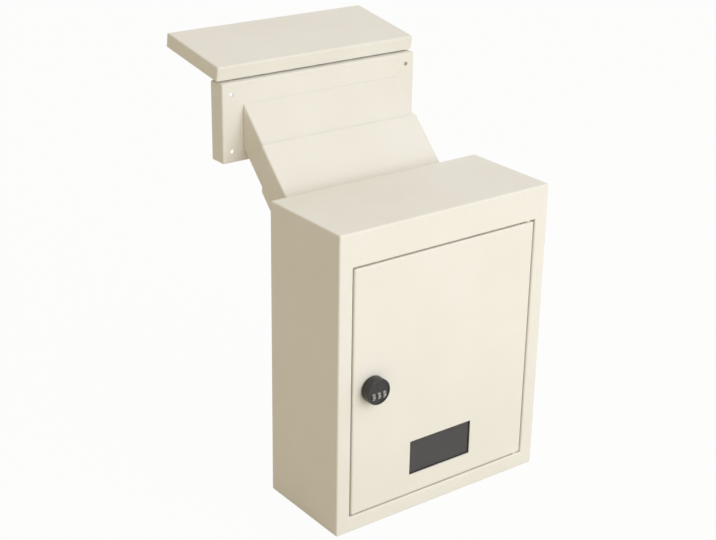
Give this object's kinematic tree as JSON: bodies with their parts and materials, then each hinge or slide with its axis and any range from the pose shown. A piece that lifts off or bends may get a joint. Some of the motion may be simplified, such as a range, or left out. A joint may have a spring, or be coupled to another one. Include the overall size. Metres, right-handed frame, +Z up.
{
  "type": "through-wall key drop box",
  "caption": "Wall-mounted steel drop box with a locking door and small window, a slanted telescopic chute through the wall, and an outdoor frame with a hinged flap.",
  "frame": {"origin": "centre of the four wall bolt holes, on the back face of the cabinet", "axes": "+X to the right seen from the front, +Y out of the cabinet's back into the wall, +Z up"},
  "size_m": [0.305, 0.3875, 0.5193],
  "materials": {
    "cream_paint": "satin cream powder coat on sheet steel",
    "zinc_steel": "bright zinc plate",
    "black_lock": "satin black",
    "grey_wheels": "dark grey wheels with pale numbers",
    "smoked_acrylic": "smoked, polished",
    "black_rubber": "matt",
    "nylon": "natural nylon"
  },
  "bodies": {
    "cabinet": {"cabinet_wrap": "cream_paint", "front_frame": "cream_paint", "back_panel": "cream_paint", "lower_chute": "cream_paint", "hinge_pins": "zinc_steel", "hinge_washers": "nylon", "door_bumpers": "black_rubber"},
    "door": {"door": "cream_paint", "window_gasket": "black_rubber", "window_pane": "smoked_acrylic", "window_retainer": "cream_paint", "window_studs": "zinc_steel", "window_nuts": "zinc_steel", "lock_sleeve": "black_lock", "lock_nut": "zinc_steel"},
    "knob": {"lock_knob": "black_lock", "wheel_axle": "zinc_steel", "lock_spindle": "zinc_steel", "lock_cam": "zinc_steel", "cam_screw": "zinc_steel"},
    "wheel_1": {"number_wheel_1": "grey_wheels"},
    "wheel_2": {"number_wheel_2": "grey_wheels"},
    "wheel_3": {"number_wheel_3": "grey_wheels"},
    "outdoor_unit": {"upper_chute": "cream_paint", "wall_frame": "cream_paint", "frame_hinge_leaf": "zinc_steel", "hinge_rod": "zinc_steel"},
    "flap": {"slot_flap": "cream_paint", "flap_hinge_leaf": "zinc_steel"}
  },
  "joints": [
    {"name": "door_hinge", "type": "hinge", "parent": "cabinet", "child": "door", "pos_m": [0.1245, -0.128, 0.03675], "axis": [0, 0, 1], "range_deg": [0, 110]},
    {"name": "knob_turn", "type": "hinge", "parent": "door", "child": "knob", "pos_m": [-0.1045, -0.133, 0.0405], "axis": [0, -1, 0], "range_deg": [0, 90]},
    {"name": "wheel_1_turn", "type": "hinge", "parent": "knob", "child": "wheel_1", "pos_m": [-0.112, -0.1413, 0.0358], "axis": [1, 0, 0], "continuous": true},
    {"name": "wheel_2_turn", "type": "hinge", "parent": "knob", "child": "wheel_2", "pos_m": [-0.1045, -0.1413, 0.0358], "axis": [1, 0, 0], "continuous": true},
    {"name": "wheel_3_turn", "type": "hinge", "parent": "knob", "child": "wheel_3", "pos_m": [-0.097, -0.1413, 0.0358], "axis": [1, 0, 0], "continuous": true},
    {"name": "chute_slide", "type": "slide", "parent": "cabinet", "child": "outdoor_unit", "axis": [0, 0.7071, 0.7071], "range_m": [-0.05, 0.03]},
    {"name": "flap_hinge", "type": "hinge", "parent": "outdoor_unit", "child": "flap", "pos_m": [0, 0.1278, 0.34467], "axis": [1, 0, 0], "range_deg": [-101, 19]}
  ]
}
